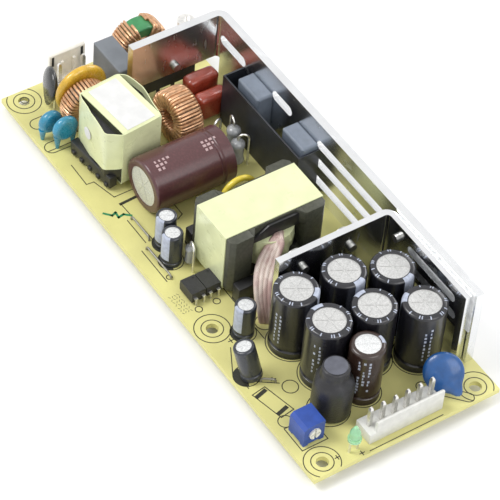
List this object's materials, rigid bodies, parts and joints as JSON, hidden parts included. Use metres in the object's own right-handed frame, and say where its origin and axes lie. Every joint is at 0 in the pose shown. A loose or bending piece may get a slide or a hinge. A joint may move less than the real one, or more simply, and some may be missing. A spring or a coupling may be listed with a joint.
{
  "type": "open frame power supply",
  "caption": "Open frame switching power supply on a bare board, with bent sheet heatsinks, wound parts, capacitors and pin headers.",
  "frame": {"origin": "middle of the board's plan, on the plane under the longest pins", "axes": "+X towards the output header, +Z out of the component side, +Y towards the long heatsink"},
  "size_m": [0.16, 0.06, 0.031],
  "materials": {
    "board": "bare laminate with white ink",
    "tin": "tinned and slightly dull",
    "solder": "solder",
    "plate": "mill finish sheet",
    "film": "thin clear amber film",
    "screw": "zinc plated",
    "shield": "black sheet",
    "package": "moulded black resin",
    "silicone": "grey silicone rubber",
    "header": "off-white nylon",
    "fuse_glass": "clear glass",
    "thermistor": "dark green dip",
    "varistor": "mustard dip",
    "teal_dip": "teal dip",
    "x_cap": "grey box",
    "film_cap": "red-brown dip",
    "blue_dip": "blue dip",
    "ferrite": "dark ferrite",
    "green_core": "green coated core",
    "copper": "enamelled copper wire",
    "bobbin": "black bobbin",
    "tape": "yellow polyester tape",
    "litz": "pink stranded wire",
    "sleeving": "yellow sleeving",
    "can": "drawn can",
    "bulk_sleeve": "maroon sleeve",
    "navy_sleeve": "near-black sleeve",
    "brown_sleeve": "brown sleeve",
    "choke_sleeve": "black shrink sleeve",
    "trimmer_blue": "blue housing",
    "trimmer_white": "white screw",
    "led_green": "tinted lens",
    "axial": "grey body"
  },
  "bodies": {
    "board_assembly": {"pcb": "board", "heavy_pin_tips": "tin", "solder_joints": "solder", "primary_heatsink": "plate", "secondary_heatsink": "plate", "insulating_film": "film", "heatsink_screws": "screw", "insulating_shield": "shield", "power_transistors": "package", "silicone_caps": "silicone", "output_rectifiers": "package", "bridge_rectifier": "package", "input_header_housing": "header", "input_header_pins": "tin", "output_header_housing": "header", "output_header_pins": "tin", "fuse_tube": "fuse_glass", "fuse_leads": "tin", "thermistor_disc": "thermistor", "varistor_disc": "varistor", "y_capacitors": "teal_dip", "disc_leads": "tin", "x_capacitor": "x_cap", "film_capacitors": "film_cap", "blue_disc_capacitor": "blue_dip", "line_choke_core": "ferrite", "line_choke_winding": "copper", "green_choke_core": "green_core", "green_choke_winding": "copper", "toroid_core": "ferrite", "toroid_winding": "copper", "inductor_core": "ferrite", "inductor_bobbin": "bobbin", "inductor_winding": "copper", "inductor_tape": "tape", "bobbin_pins": "tin", "transformer_core": "ferrite", "transformer_bobbin": "bobbin", "transformer_winding": "copper", "transformer_tape": "tape", "transformer_litz": "litz", "sleeved_wire": "sleeving", "bulk_capacitor_can": "can", "bulk_capacitor_sleeve": "bulk_sleeve", "output_capacitor_cans": "can", "output_capacitor_sleeves": "navy_sleeve", "filter_capacitor_can": "can", "filter_capacitor_sleeve": "brown_sleeve", "small_capacitor_cans": "can", "small_capacitor_sleeves": "navy_sleeve", "rod_choke": "choke_sleeve", "trimmer_body": "trimmer_blue", "indicator_led": "led_green", "led_leads": "tin", "optocouplers": "package", "optocoupler_pins": "tin", "axial_parts": "axial", "axial_leads": "tin", "jumper_wires": "tin"},
    "adjusting_screw": {"trimmer_screw": "trimmer_white"}
  },
  "joints": [
    {"name": "trimmer_turn", "type": "hinge", "parent": "board_assembly", "child": "adjusting_screw", "pos_m": [0.0695, -0.0232, 0.0079], "axis": [1, 0, 0], "range_deg": [-130, 130]}
  ]
}
